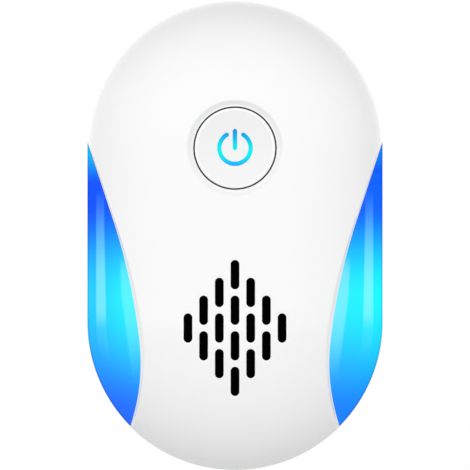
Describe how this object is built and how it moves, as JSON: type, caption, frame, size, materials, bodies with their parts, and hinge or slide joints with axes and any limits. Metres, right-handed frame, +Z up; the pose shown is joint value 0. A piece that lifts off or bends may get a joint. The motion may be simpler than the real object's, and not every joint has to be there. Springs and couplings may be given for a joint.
{
  "type": "ultrasonic pest repeller",
  "caption": "Plug-in oval device with a domed front, a round push button with a lit power symbol, lit side panels, a diamond of sound slots and a flat-blade plug at the back.",
  "frame": {"origin": "middle of the plug's two blades, on the flat back face that meets the wall socket", "axes": "+Y points into the wall along the blades, so the front faces -Y; +Z is up along the body's length; +X is to the right seen from the front"},
  "size_m": [0.06, 0.0485, 0.0953],
  "materials": {
    "white": "glossy white moulded ABS",
    "cap": "smooth white moulded ABS",
    "panel": "glossy translucent blue, lit from inside",
    "symbol": "translucent light guide, lit blue",
    "led": "clear blue epoxy",
    "cloth": "black dust cloth",
    "foam": "black closed-cell foam",
    "black": "satin black moulded plastic",
    "paper": "black pressed paper",
    "brass": "bare brass",
    "ceramic": "silvered ceramic",
    "board": "green solder mask on glass epoxy",
    "sleeve": "shrink sleeve over an aluminium can",
    "film": "red epoxy case",
    "ferrite": "sintered ferrite",
    "copper": "enamelled copper wire",
    "varistor": "blue epoxy coating",
    "resistor": "green flameproof coating",
    "nickel": "nickel plate on brass",
    "steel": "zinc-plated steel",
    "red": "red wire insulation"
  },
  "bodies": {
    "housing": {"front_cover": "white", "rear_cover": "white", "left_light_panel": "panel", "right_light_panel": "panel", "switch_base": "black", "switch_cover_plate": "nickel", "symbol_led": "led", "left_led_upper": "led", "left_led_lower": "led", "right_led_upper": "led", "right_led_lower": "led", "grille_cloth": "cloth", "speaker_gasket": "foam", "speaker_frame": "black", "speaker_cone": "paper", "piezo_plate": "brass", "piezo_ceramic": "ceramic", "speaker_wire_black": "black", "speaker_wire_red": "red", "main_board": "board", "input_capacitor": "sleeve", "output_capacitor": "sleeve", "film_capacitor": "film", "inductor_core": "ferrite", "inductor_winding": "copper", "driver_chip": "black", "bridge_rectifier": "black", "output_transistor": "black", "surge_varistor": "varistor", "fuse_resistor": "resistor", "plug_holder": "black", "left_blade": "nickel", "right_blade": "nickel", "live_wire": "red", "neutral_wire": "black", "cover_screw_1": "steel", "cover_screw_2": "steel", "cover_screw_3": "steel", "cover_screw_4": "steel", "board_screw_1": "steel", "board_screw_2": "steel"},
    "button": {"button_cap": "cap", "button_symbol_lens": "symbol"},
    "plunger": {"switch_plunger": "black"}
  },
  "joints": [
    {"name": "button_press", "type": "slide", "parent": "housing", "child": "button", "axis": [0, 1, 0], "range_m": [0, 0.0005], "stiffness_N_per_m": 800, "springref_m": -0.0005},
    {"name": "plunger_press", "type": "slide", "parent": "housing", "child": "plunger", "axis": [0, 1, 0], "range_m": [0, 0.0005]}
  ],
  "couplings": [
    {"joint": "plunger_press", "follows": "button_press", "ratio": 1}
  ]
}
